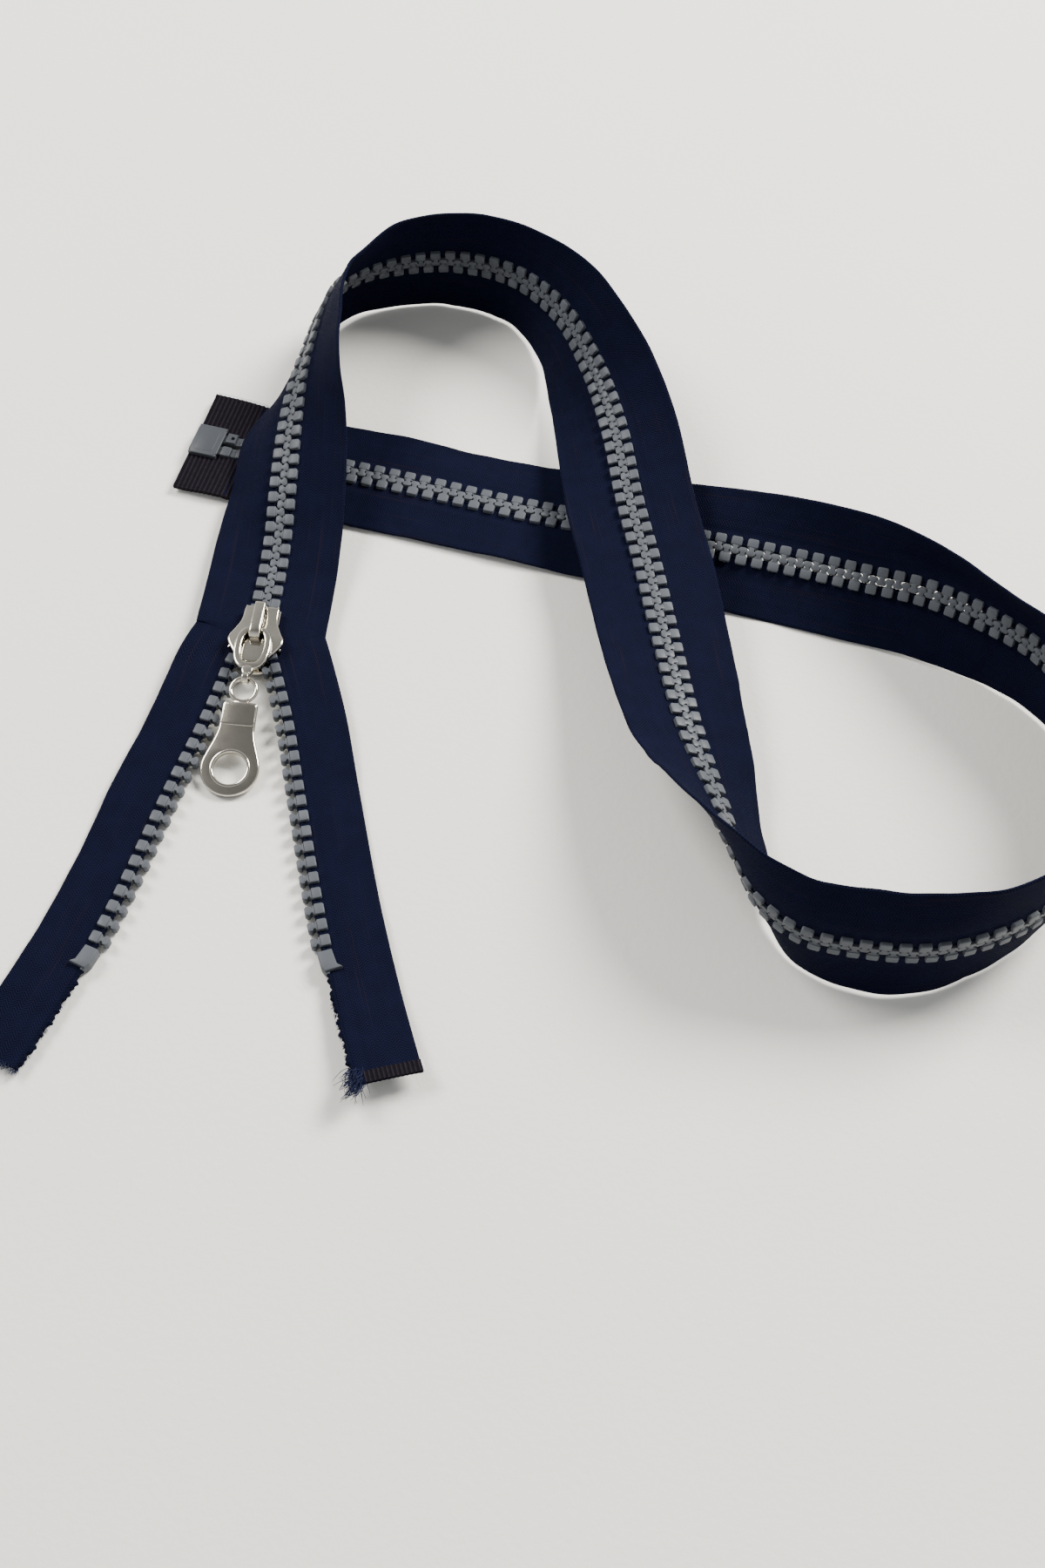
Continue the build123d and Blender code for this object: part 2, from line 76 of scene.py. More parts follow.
# ---- the route: x, y, z, roll, bend of the left tape, bend of the right tape ----
CHAIN = [
    (2.2, 9, 2.9, 0, 0, 0),
    (2.6, 12.5, 2.9, 0, 0, 0),
    (3.05, 16.5, 3.0, 0, 0, 0),
    (3.9, 26, 4.2, 3, 6, 0),
    (4.7, 38.6, 7.8, 8, 24, 0),
    (6, 56, 11.4, 28, 14, 0),
    (7.5, 67.4, 13.2, 46, 22, 0),
    (9.2, 76.1, 13.9, 56, 30, 0),
    (11.5, 86.6, 14.2, 64, 30, 0),
    (14.3, 93.6, 14.3, 66, 28, 0),
    (19, 97.8, 14.3, 68, 26, 0),
    (29, 101.8, 14.3, 82, 9, 0),
    (40, 103, 14.3, 90, 0, 0),
    (56, 98, 14.2, 100, 0, 0),
    (66, 88, 13.6, 114, 0, 0),
    (73.5, 71, 12.5, 135, 0, 0),
    (78, 52, 11.8, 158, 0, 0),
    (81, 31, 10.5, 173, 0, 0),
    (84, 15, 10, 180, 0, 0),
    (87, -5, 10.5, 188, 0, 0),
    (91, -30, 12, 205, 0, 0),
    (94.5, -44, 13.2, 226, 0, 5),
    (98, -57, 14.1, 246, 8, 22),
    (102, -68, 14.3, 262, 18, 18),
    (110, -75.5, 14.3, 270, 32, 2),
    (121, -78.3, 14.3, 271, 38, -12),
    (133, -79, 14.3, 272, 32, -10),
    (144, -76.5, 14.4, 272, 10, 2),
    (154, -71.5, 14.4, 271, 8, 4),
    (164, -60, 14.4, 270, 6, 0),
    (170, -42, 14.4, 270, 0, 0),
    (170, -24, 14.4, 268, 6, 6),
    (162.5, -8.4, 13.2, 262, 34, 22),
    (154, 0, 11.6, 248, 44, 20),
    (144, 7.5, 9.6, 232, 46, 16),
    (129, 14, 7.2, 215, 24, 10),
    (105, 22.5, 5.1, 205, 0, 6),
    (82, 30, 2.7, 190, 0, 4),
    (60, 36.3, 1.5, 181, -3, -2),
    (30, 45, 1.4, 180, -4, -4),
    (4, 52, 1.4, 180, -4, -4),
    (-9, 55.6, 1.4, 180, 0, 0),
    (-17.5, 58, 1.4, 180, 0, 0),
]
LEFT_LEG = [
    (-35.5, -98, 1.4, 0, 4, 0),
    (-27, -80, 1.4, 0, 4, 0),
    (-21.5, -66, 1.4, 0, 4, 0),
    (-12, -36, 1.5, 0, 4, 0),
    (-6.4, -20, 2.1, 0, 2, 0),
    (-3.9, -12, 2.7, 0, 0, 0),
    (-2.4, -6.6, 2.9, 0, 0, 0),
    (-1.2, -3.8, 2.9, 0, 0, 0),
    (-0.2, -1.8, 2.9, 0, 0, 0),
    (0.85, 0.3, 2.9, 0, 0, 0),
    (1.5, 2.6, 2.9, 0, 0, 0),
    (1.8, 5.3, 2.9, 0, 0, 0),
]
RIGHT_LEG = [
    (25.5, -102.3, 4.4, 0, 0, 4),
    (20.5, -84, 2.1, 0, 0, 4),
    (17, -70, 1.4, 0, 0, 4),
    (10.2, -37, 1.5, 0, 0, 4),
    (6.8, -20, 2.1, 0, 0, 2),
    (4.7, -12, 2.7, 0, 0, 0),
    (3.2, -6.6, 2.9, 0, 0, 0),
    (2.35, -3.8, 2.9, 0, 0, 0),
    (1.8, -1.8, 2.9, 0, 0, 0),
    (1.45, 0.3, 2.9, 0, 0, 0),
    (1.55, 2.6, 2.9, 0, 0, 0),
    (1.8, 5.3, 2.9, 0, 0, 0),
]
# Samples in each span between stations, and how far each way along the route a heading is measured.
SAMPLES = 24
REACH = 0.4


def unit(vectors):
    return vectors / np.linalg.norm(vectors, axis=-1, keepdims=True)


class Route:
    """A smooth curve through stations, read by its length from the retainer box end."""

    def __init__(self, stations):
        self.points = np.array(stations[::-1], float)
        self.gaps = np.linalg.norm(np.diff(self.points[:, :3], axis=0), axis=1)
        steps = np.diff(self.points, axis=0) / self.gaps[:, None]
        near, far = self.gaps[:-1, None], self.gaps[1:, None]
        inner = (steps[:-1] * far + steps[1:] * near) / (near + far)
        self.slopes = np.vstack([steps[:1], inner, steps[-1:]])
        self.keys = np.arange(len(self.gaps) * SAMPLES + 1) / SAMPLES
        runs = np.linalg.norm(np.diff(self.at(self.keys)[:, :3], axis=0), axis=1)
        self.marks = np.concatenate([[0.0], np.cumsum(runs)])
        self.length = self.marks[-1]

    def at(self, key):
        """The station values at a key: its whole part counts the stations passed."""
        span = np.minimum(key.astype(int), len(self.gaps) - 1)
        u = (key - span)[:, None]
        gap = self.gaps[span][:, None]
        start = (2 * u**3 - 3 * u**2 + 1) * self.points[span]
        leave = (u**3 - 2 * u**2 + u) * gap * self.slopes[span]
        end = (3 * u**2 - 2 * u**3) * self.points[span + 1]
        arrive = (u**3 - u**2) * gap * self.slopes[span + 1]
        return start + leave + end + arrive

    def values(self, lengths):
        """The station values at lengths along the route."""
        return self.at(np.interp(lengths, self.marks, self.keys))

    def frames(self, lengths, side):
        """Points, directions towards this side's edge, front normals, and bends, at these lengths."""
        lengths = np.atleast_1d(np.asarray(lengths, float))
        behind = self.values(np.maximum(lengths - REACH, 0))[:, :3]
        ahead = self.values(np.minimum(lengths + REACH, self.length))[:, :3]
        here = self.values(lengths)
        heading = unit(behind - ahead)
        up = np.array([0.0, 0.0, 1.0])
        upright = unit(up - heading * heading[:, 2:3])
        left = np.cross(upright, heading)
        roll = np.radians(here[:, 3:4])
        normal = upright * np.cos(roll) + left * np.sin(roll)
        edgeward = np.cross(heading, normal) * side
        bend = here[:, 5] if side > 0 else here[:, 4]
        return here[:, :3] - CENTRE, edgeward, normal, bend


ROUTES = {LEFT: Route(LEFT_LEG + CHAIN), RIGHT: Route(RIGHT_LEG + CHAIN)}


def across(distance, bend):
    """A tape's middle plane at distances from the chain centre, for each bend: out, up and lean."""
    turn = np.radians(np.where(np.abs(bend) > LEAST_BEND, bend, LEAST_BEND))[:, None]
    share = np.clip((distance - BEND_START) / (BEND_END - BEND_START), 0, 1)
    radius = (BEND_END - BEND_START) / turn
    angle = turn * share
    rest = np.maximum(distance - BEND_END, 0)
    out = np.minimum(distance, BEND_START) + radius * np.sin(angle) + rest * np.cos(angle)
    up = -radius * (1 - np.cos(angle)) - rest * np.sin(angle)
    return out, up, -angle


# ---- materials ----
class Look:
    """A Principled material, with short ways to add nodes to it."""

    def __init__(self, name, **sockets):
        """Each socket is named with _ for a space, and holds a constant."""
        self.material = bpy.data.materials.new(name)
        self.material.use_nodes = True
        self.tree = self.material.node_tree
        self.shader = self.tree.nodes["Principled BSDF"]
        for socket, value in sockets.items():
            self.shader.inputs[socket.replace("_", " ")].default_value = value

    def feed(self, socket, value):
        if isinstance(value, bpy.types.NodeSocket):
            self.tree.links.new(value, socket)
        else:
            socket.default_value = value

    def node(self, kind, output, inputs, **settings):
        made = self.tree.nodes.new("ShaderNode" + kind)
        for key, value in settings.items():
            setattr(made, key, value)
        for key, value in inputs.items():
            self.feed(made.inputs[key], value)
        return made.outputs[output]

    def math(self, operation, a, b=0.0):
        return self.node("Math", 0, {0: a, 1: b}, operation=operation)

    def wave(self, value, pitch, operation="SINE"):
        return self.math(operation, self.math("MULTIPLY", value, 2 * pi / pitch))

    def noise(self, scale, vector=None, detail=3.0):
        if vector is None:
            vector = self.node("TexCoord", "Object", {})
        return self.node("TexNoise", 0, {"Scale": scale, "Detail": detail, "Vector": vector})

    def stretch(self, vector, scale):
        return self.node("Mapping", 0, {"Vector": vector, "Scale": scale})

    def band(self, value, low, high):
        """0 at low, 1 at high, smooth between."""
        settings = {"Value": value, "From Min": low, "From Max": high}
        return self.node("MapRange", 0, settings, interpolation_type="SMOOTHSTEP")

    def span(self, value, low, high):
        """A value from 0 to 1 put between low and high."""
        return self.node("MapRange", 0, {"Value": value, "To Min": low, "To Max": high})

    def mix(self, share, a, b):
        inputs = {"Factor": share, 6: a, 7: b}
        return self.node("Mix", 2, inputs, data_type="RGBA")

    def set(self, socket, value):
        self.feed(self.shader.inputs[socket], value)

    def bump(self, height, distance, strength=1.0):
        inputs = {"Height": height, "Distance": distance, "Strength": strength}
        self.set("Normal", self.node("Bump", 0, inputs))


def colour(red, green, blue):
    return (red, green, blue, 1.0)


def shade(base, share):
    """A colour made darker or lighter, no lighter than white."""
    return colour(*(min(1.0, share * channel) for channel in base[:3]))


# The weave in millimetres: herringbone columns, the slanted ridges across them, and the yarns.
COLUMN_WIDTH = 1.25
TWILL_PITCH = 0.62
TWILL_SLANT = 0.9
YARN_PITCH = 0.34


def cloth_look(name, deep, light, glint):
    """Woven tape. Its UV map holds millimetres across and along: herringbone columns of fine twill."""
    sheen = {"Sheen_Weight": 0.01, "Sheen_Roughness": 0.5, "Sheen_Tint": colour(0.35, 0.45, 0.9)}
    look = Look(name, Specular_IOR_Level=0.03, **sheen)
    uv = look.node("UVMap", 0, {}, uv_map="weave")
    over = look.node("SeparateXYZ", "X", {0: uv})
    along = look.node("SeparateXYZ", "Y", {0: uv})
    column = look.math("PINGPONG", over, COLUMN_WIDTH)
    slanted = look.math("ADD", along, look.math("MULTIPLY", column, TWILL_SLANT))
    twill = look.math("MULTIPLY", look.wave(slanted, TWILL_PITCH), 0.6)
    yarn = look.math("MULTIPLY", look.wave(over, YARN_PITCH), 0.4)
    weave = look.math("ADD", twill, yarn)
    streaks = look.noise(1.0, look.stretch(uv, (2.6, 0.03, 1.0)), 2.0)
    patches = look.noise(0.25, uv, 4.0)
    cloth = look.mix(look.band(weave, -0.8, 0.9), deep, light)
    cloth = look.mix(look.span(look.band(patches, 0.35, 0.7), 0.0, 0.35), cloth, light)
    cloth = look.mix(look.span(look.band(streaks, 0.62, 0.75), 0.0, 0.5), cloth, glint)
    look.set("Base Color", cloth)
    look.set("Roughness", look.span(patches, 0.68, 0.9))
    look.bump(weave, 0.07 * MM, 0.8)
    return look.material


def plastic_look(name, base, rough):
    """Satin moulded plastic: faint cloudiness, a fine grain and slightly polished raised edges."""
    look = Look(name, Coat_Weight=0.03, Coat_Roughness=0.2, Specular_IOR_Level=0.22)
    clouds = look.noise(260.0)
    grain = look.noise(2600.0, detail=5.0)
    edge = look.band(look.node("NewGeometry", "Pointiness", {}), 0.5, 0.62)
    body = look.mix(clouds, base, shade(base, 0.72))
    look.set("Base Color", look.mix(look.span(edge, 0.0, 0.6), body, shade(base, 1.45)))
    look.set("Roughness", look.span(clouds, rough - 0.12, rough + 0.14))
    look.bump(grain, 0.02 * MM, 0.5)
    return look.material


def metal_look(name, base, rough, brushed=0.0):
    """Metal with faint polishing lines, small dings, slightly duller patches and painted shade in its
    hollows.
    """
    look = Look(name, Metallic=1.0)
    spot = look.node("TexCoord", "Object", {})
    patches = look.noise(420.0, spot)
    lines = look.noise(900.0, look.stretch(spot, (1.0, 0.08, 1.0)), 6.0)
    dull = look.span(look.band(patches, 0.45, 0.75), 0.0, 0.6)
    # Painted shade: the colour goes dark where the surface is closed in, where shade falls.
    clear_round = look.node("AmbientOcclusion", "AO", {"Distance": 2.5 * MM}, samples=8)
    painted_hollow_shade = look.band(clear_round, 0.72, 0.2)
    plated = look.mix(dull, base, shade(base, 0.78))
    look.set("Base Color", look.mix(painted_hollow_shade, plated, shade(base, 0.25)))
    look.set("Roughness", look.span(patches, rough * 0.6, rough * 1.6 + brushed))
    look.bump(look.math("ADD", look.math("MULTIPLY", lines, 0.5), patches), 0.03 * MM, 0.35)
    return look.material


def film_look(name, axis, rib):
    """Black stiffening film: satin, dusty, with a painted highlight on the crests of ribs this far apart
    along a UV axis.
    """
    look = Look(name, Specular_IOR_Level=0.02)
    uv = look.node("UVMap", 0, {}, uv_map="weave")
    dust = look.noise(1.6, look.stretch(uv, (1.0, 0.5, 1.0)), 5.0)
    ribs = look.wave(look.node("SeparateXYZ", axis, {0: uv}), rib, "COSINE")
    # Painted highlight: the rib crests are made paler, in patches that follow the dust noise.
    painted_rib_highlight = look.math("MULTIPLY", look.band(ribs, 0.1, 1.0), dust)
    film = look.mix(dust, colour(0.002, 0.002, 0.0035), colour(0.008, 0.006, 0.009))
    look.set("Base Color", look.mix(painted_rib_highlight, film, colour(0.021, 0.017, 0.024)))
    look.set("Roughness", look.span(dust, 0.45, 0.75))
    look.bump(dust, 0.04 * MM, 0.5)
    return look.material


def clear_look(name):
    """The thin clear edge of a film, milky where it is creased."""
    look = Look(name, Transmission_Weight=0.35, Coat_Weight=0.4, IOR=1.45)
    creases = look.noise(900.0, detail=4.0)
    look.set("Base Color", look.mix(creases, colour(0.75, 0.78, 0.8), colour(0.95, 0.96, 0.97)))
    look.set("Roughness", look.span(creases, 0.08, 0.3))
    look.bump(creases, 0.05 * MM, 0.6)
    return look.material


def floor_look(name):
    """Matt off-white, very slightly uneven in colour and height."""
    look = Look(name, Roughness=0.95, Specular_IOR_Level=0.1)
    look.set("Base Color", look.mix(look.noise(9.0), colour(0.80, 0.79, 0.74), colour(0.83, 0.825, 0.78)))
    look.bump(look.noise(700.0, detail=6.0), 0.4 * MM, 0.25)
    return look.material


BOX_RIB, END_RIB = 1.05, 0.85
DEEP_NAVY = colour(0.001, 0.0014, 0.005)
TAPE_NAVY, TAPE_GLINT = colour(0.0046, 0.0058, 0.0205), colour(0.016, 0.008, 0.008)
CORD_NAVY, CORD_GLINT = colour(0.0035, 0.0045, 0.016), colour(0.007, 0.005, 0.008)
TAPE_LOOK = cloth_look("navy_twill", DEEP_NAVY, TAPE_NAVY, TAPE_GLINT)
CORD_LOOK = cloth_look("navy_cord", DEEP_NAVY, CORD_NAVY, CORD_GLINT)
THREAD_LOOK = plastic_look("navy_thread", colour(0.004, 0.007, 0.03), 0.8)
TOOTH_LOOK = plastic_look("tooth_plastic_satin", colour(0.064, 0.071, 0.083), 0.5)
BOX_LOOK = plastic_look("box_plastic_satin", colour(0.043, 0.048, 0.056), 0.42)
NICKEL = metal_look("polished_nickel", colour(0.66, 0.62, 0.53), 0.11)
SPRING_STEEL = metal_look("spring_steel_leaf", colour(0.45, 0.45, 0.44), 0.3, 0.1)
FILM_LOOK = film_look("ribbed_film_black", "Y", BOX_RIB)
END_FILM_LOOK = film_look("ribbed_end_film_black", "X", END_RIB)
CLEAR_LOOK = clear_look("clear_film_edge")


# ---- making pieces ----
def add_piece(name, mesh, material, body, replaced=()):
    mesh.materials.clear()
    mesh.materials.append(material)
    piece = bpy.data.objects.new(name, mesh)
    bpy.context.scene.collection.objects.link(piece)
    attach(piece, body)
    if replaced:
        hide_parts(*replaced)
    return piece


def mesh_from(name, points, faces, sharp, uv=None):
    """A mesh from points in millimetres, creased above a sharp angle. uv has a pair for each point."""
    mesh = bpy.data.meshes.new(name)
    mesh.from_pydata((np.asarray(points) * MM).tolist(), [], faces)
    if uv is not None:
        layer = mesh.uv_layers.new(name="weave")
        corners = np.zeros(len(mesh.loops), np.int32)
        mesh.loops.foreach_get("vertex_index", corners)
        layer.data.foreach_set("uv", uv[corners].astype(np.float32).ravel())
    mesh.validate()
    mesh.shade_smooth()
    mesh.set_sharp_from_angle(angle=radians(sharp))
    mesh.update()
    return mesh


def steps(start, end, step):
    """Evenly spaced values from start to end, about a step apart."""
    return np.linspace(start, end, max(int(round((end - start) / step)), 1) + 1)


def turns(count):
    """Angles once round a circle, without the last, which is the first again."""
    return np.linspace(0, 2 * pi, count + 1)[:-1]


def tube_faces(rings, around, first=0):
    """Quads between closed rings of points, and a face over each end."""
    i = np.arange(rings - 1)[:, None] * around
    j = np.arange(around)[None, :]
    k = (j + 1) % around
    quads = np.stack([i + j, i + k, i + around + k, i + around + j], axis=-1).reshape(-1, 4) + first
    last = first + (rings - 1) * around
    ends = [list(range(first + around - 1, first - 1, -1)), list(range(last, last + around))]
    return quads.tolist() + ends


def swept(side, lengths, out, up):
    """Places section points, out and up from the chain centre, at each of a route's lengths."""
    point, edgeward, normal, _ = ROUTES[side].frames(lengths, side)
    return point[:, None] + edgeward[:, None] * out[..., None] + normal[:, None] * up[..., None]


# Slow waves along each tape, growing towards its edge: wavelength, height, and shift for each side.
RIPPLES = ((47.0, 0.26, 1.0), (23.0, 0.16, 2.1), (9.7, 0.07, 0.0))
# No part of a band is lower than this, so that it never cuts the floor.
LOWEST = 0.03


def strip_mesh(name, side, lengths, distances, heights):
    """A closed band along a tape: distances from the chain centre, heights off its middle plane."""
    bend = ROUTES[side].frames(lengths, side)[3]
    out, up, lean = across(distances[None, :], bend)
    wave = sum(height * np.sin(lengths * 2 * pi / span + shift * side) for span, height, shift in RIPPLES)
    weight = np.clip((distances - BEND_START) / (TAPE_EDGE - BEND_START), 0, 1) ** 1.4
    up = up + weight[None, :] * wave[:, None]
    points = swept(side, lengths, out - heights * np.sin(lean), up + heights * np.cos(lean))
    points[..., 2] = np.maximum(points[..., 2], LOWEST)
    uv = np.stack(np.broadcast_arrays(distances[None, :], lengths[:, None]), axis=-1)
    faces = tube_faces(len(lengths), len(distances))
    return mesh_from(name, points.reshape(-1, 3), faces, 50.0, uv.reshape(-1, 2))


# ---- tapes and cords ----
GRIP_END = 3.9
GROOVE_AT = 4.2
SELVEDGE_AT = TAPE_EDGE - 0.65
EDGE_ROUND = 0.25


def ridge(distance, middle, width):
    """A smooth bump of height 1."""
    return np.exp(-(((distance - middle) / width) ** 2))


def tape_half(distance):
    """Half the tape's thickness: more where the teeth grip it, a groove beside them, a rolled selvedge."""
    gripped = 0.10 * np.clip((GRIP_END - distance) / 1.2, 0, 1)
    groove = -0.07 * ridge(distance, GROOVE_AT, 0.35)
    selvedge = 0.07 * ridge(distance, SELVEDGE_AT, 0.45)
    end = np.clip((TAPE_EDGE - distance) / EDGE_ROUND, 0, 1) ** 0.5
    return (TAPE_THICK / 2 + gripped + groove + selvedge) * (0.35 + 0.65 * end)


def make_tape(side, name):
    """The woven tape, with more points across it near the cord and round its outer edge."""
    length = ROUTES[side].length
    near = np.linspace(CORD_OUTER - 0.05, GROOVE_AT + 1.0, 9)
    middle = np.linspace(6.0, 12.6, 8)
    edge = TAPE_EDGE - np.array([1.0, 0.6, 0.25, 0.07, 0.0])
    front = np.concatenate([near, middle, edge])
    distances = np.concatenate([front, front[::-1]])
    half = tape_half(distances)
    heights = np.concatenate([half[: len(front)], -half[len(front):]])
    mesh = strip_mesh(f"{name}_tape_woven", side, steps(0, length, 1.3), distances, heights[None, :])
    tape = add_piece(f"{name}_tape_woven", mesh, TAPE_LOOK, "chain", [f"{name}_tape"])


# The knit's pitch along the cord, and the length over which the fuzz grows.
STITCH = 0.9
FUZZ_RISE = 4.0


def make_cord(side, name):
    """The knitted cord that the teeth are moulded on, fuzzy where it runs on past the top stop."""
    length = ROUTES[side].length
    lengths = steps(0, length, STITCH / 3)
    turn = turns(12)
    ribs = 1 + 0.07 * np.sin(lengths[:, None] * 2 * pi / STITCH + turn[None, :])
    middle = (CORD_INNER + CORD_OUTER) / 2
    half = (CORD_OUTER - CORD_INNER) / 2 * 1.1
    loose = np.clip((lengths - length + TAILS[side]) / FUZZ_RISE, 0, 1)
    fuzz = 0.25 * np.sin(2.1 * lengths) + 0.2 * np.sin(4.7 * lengths + side) + 0.2 * np.sin(0.9 * lengths)
    inner_half = np.clip(-np.cos(turn), 0, 1)
    out = middle + half * np.cos(turn)[None, :] * ribs + (loose * fuzz)[:, None] * inner_half[None, :]
    up = CORD_THICK / 2 * np.sin(turn)[None, :] * ribs
    points = swept(side, lengths, out, up)
    uv = np.stack(np.broadcast_arrays(turn[None, :] * 0.5, lengths[:, None]), axis=-1)
    faces = tube_faces(len(lengths), len(turn))
    mesh = mesh_from(f"{name}_cord_knitted", points.reshape(-1, 3), faces, 60.0, uv.reshape(-1, 2))
    add_piece(f"{name}_cord_knitted", mesh, CORD_LOOK, "chain", [f"{name}_cord"])


for side, name in SIDE_NAMES.items():
    make_tape(side, name)
    make_cord(side, name)


# ---- outlines ----
def circle(x, y, radius, count):
    return [(x + radius * cos(turn), y + radius * sin(turn)) for turn in turns(count)]


def mirrored(knots):
    """A symmetric outline from its right half, listed from one end to the other."""
    return list(knots) + [(-k[0],) + tuple(k[1:]) for k in reversed(knots)]


def curve_points(knots, per):
    """A closed smooth outline through knots; a knot with a third value is a sharp corner."""
    spots = [np.array(k[:2], float) for k in knots]
    sharp = [len(k) > 2 for k in knots]
    count = len(spots)
    slopes = [(spots[(i + 1) % count] - spots[i - 1]) / 2 for i in range(count)]
    line = []
    for i in range(count):
        j = (i + 1) % count
        a, b = spots[i], spots[j]
        m = (b - a) if sharp[i] else slopes[i]
        n = (b - a) if sharp[j] else slopes[j]
        straight = sharp[i] and sharp[j]
        for u in ([0.0] if straight else np.arange(per) / per):
            point = (2 * u**3 - 3 * u**2 + 1) * a + (u**3 - 2 * u**2 + u) * m
            line.append(point + (3 * u**2 - 2 * u**3) * b + (u**3 - u**2) * n)
    return line


# ---- closed solids: each is points and faces ----
def taken_from(work):
    """The points and faces of a bmesh, which is then freed."""
    work.verts.index_update()
    points = np.array([v.co for v in work.verts])
    faces = [[v.index for v in f.verts] for f in work.faces]
    work.free()
    return points, faces


def prism(outline, low, high, bevel, segments=2):
    """A closed prism over an outline in millimetres, with rounded edges."""
    work = bmesh.new()
    floor = [work.verts.new((x, y, low)) for x, y in outline]
    roof = [work.verts.new((x, y, high)) for x, y in outline]
    work.faces.new(floor[::-1])
    work.faces.new(roof)
    for a in range(len(outline)):
        b = (a + 1) % len(outline)
        work.faces.new((floor[a], floor[b], roof[b], roof[a]))
    bmesh.ops.recalc_face_normals(work, faces=work.faces)
    rounding = {"offset": bevel, "segments": segments, "profile": 0.5, "clamp_overlap": True}
    bmesh.ops.bevel(work, geom=work.edges[:], affect="EDGES", **rounding)
    return taken_from(work)


def plate(outlines, low, high, bevel, resolution=3):
    """A flat plate with rounded rims: the first outline is its edge, the others are holes."""
    curve = bpy.data.curves.new("plate", "CURVE")
    curve.dimensions = "2D"
    curve.fill_mode = "BOTH"
    curve.bevel_depth = bevel
    curve.bevel_resolution = resolution
    curve.offset = -bevel
    curve.extrude = (high - low) / 2 - bevel
    for outline in outlines:
        spline = curve.splines.new("POLY")
        spline.points.add(len(outline) - 1)
        for point, (x, y) in zip(spline.points, outline):
            point.co = (x, y, 0, 1)
        spline.use_cyclic_u = True
    carrier = bpy.data.objects.new("plate", curve)
    mesh = bpy.data.meshes.new_from_object(carrier)
    work = bmesh.new()
    work.from_mesh(mesh)
    bmesh.ops.remove_doubles(work, verts=work.verts, dist=0.001)
    bpy.data.objects.remove(carrier)
    bpy.data.curves.remove(curve)
    bpy.data.meshes.remove(mesh)
    points, faces = taken_from(work)
    return points + np.array([0, 0, (low + high) / 2]), faces


def rod(path, radius, around, squash=1.0):
    """A closed ring along a closed path of points, of a round or flattened section."""
    path = np.asarray(path, float)
    ahead = unit(np.roll(path, -1, axis=0) - np.roll(path, 1, axis=0))
    side = unit(np.cross(ahead, np.array([0.0, 0.0, 1.0])))
    over = np.cross(side, ahead)
    turn = turns(around)[None, :, None]
    ring = side[:, None] * np.cos(turn) + over[:, None] * np.sin(turn) * squash
    rings = len(path)
    faces = []
    for i in range(rings):
        for j in range(around):
            k, n = (j + 1) % around, (i + 1) % rings
            faces.append([i * around + j, i * around + k, n * around + k, n * around + j])
    return (path[:, None] + ring * radius).reshape(-1, 3), faces


def oblong(x, y, width, length, low, high, bevel):
    """A rounded bar centred at x, y, with its corners cut."""
    a, b, c = width / 2, length / 2, min(width, length) * 0.12
    outline = mirrored([(a - c, -b), (a, c - b), (a, b - c), (a - c, b)])
    return prism([(x + p, y + q) for p, q in outline], low, high, bevel, 3)


def joined(*solids):
    """Several solids as one list of points and one of faces."""
    points, faces, start = [], [], 0
    for more_points, more_faces in solids:
        points.append(more_points)
        faces += [[v + start for v in f] for f in more_faces]
        start += len(more_points)
    return np.vstack(points), faces


def moved(solid, matrix):
    """A solid with its points carried by a 4 by 4 matrix."""
    points, faces = solid
    spin = np.array(matrix)
    return points @ spin[:3, :3].T + spin[:3, 3], faces


# ---- shapes placed along a route ----
def place(side, lengths, points, tilt=0.0):
    """A shape's points in the chain's own plane at each of the lengths, each slightly tilted."""
    point, edgeward, normal, _ = ROUTES[side].frames(lengths, side)
    along = np.cross(normal, edgeward)
    nudge = RANDOM.normal(0, 1, (len(point), 3)) * tilt
    normal = unit(normal + edgeward * nudge[:, :1] + along * nudge[:, 1:2])
    edgeward = unit(edgeward - normal * np.sum(edgeward * normal, axis=1, keepdims=True))
    along = np.cross(normal, edgeward)
    axes = np.stack([edgeward, along, normal], axis=1)
    return point[:, None] + np.einsum("pk,nkc->npc", points, axes)


def row_mesh(name, side, lengths, solid, tilt=0.0):
    """One mesh of a solid repeated at each of the lengths along a route."""
    points, faces = solid
    placed = place(side, lengths, points, tilt)
    every = []
    for i in range(len(placed)):
        every += [[v + i * len(points) for v in f] for f in faces]
    return mesh_from(name, placed.reshape(-1, 3), every, 30.0)


# ---- teeth and top stops ----
TOOTH_HALF = 1.2
TOOTH_TILT = 0.018
STOP_GAP = 0.6


def tooth_shape():
    """Local X runs to the tape's edge, Y along the chain, Z to the front. Outlines are mirrored halves."""

    def whole(half):
        return half + [(x, -y) for x, y in reversed(half)]

    block = whole([(1.1, -TOOTH_HALF), (2.75, -TOOTH_HALF), (3.05, -0.95)])
    arm = whole([(1.4, 0.62), (0.35, 0.5), (0.05, 0.98), (-0.5, 0.98), (-0.86, 0.6)])
    shoulder = whole([(0.75, -0.85), (1.3, -1.1)])
    return joined(
        prism(block, -TOOTH_HALF, TOOTH_HALF, 0.2, 3),
        prism(arm, -1.12, 0.92, 0.13),
        prism(shoulder, -1.0, 0.98, 0.1),
    )


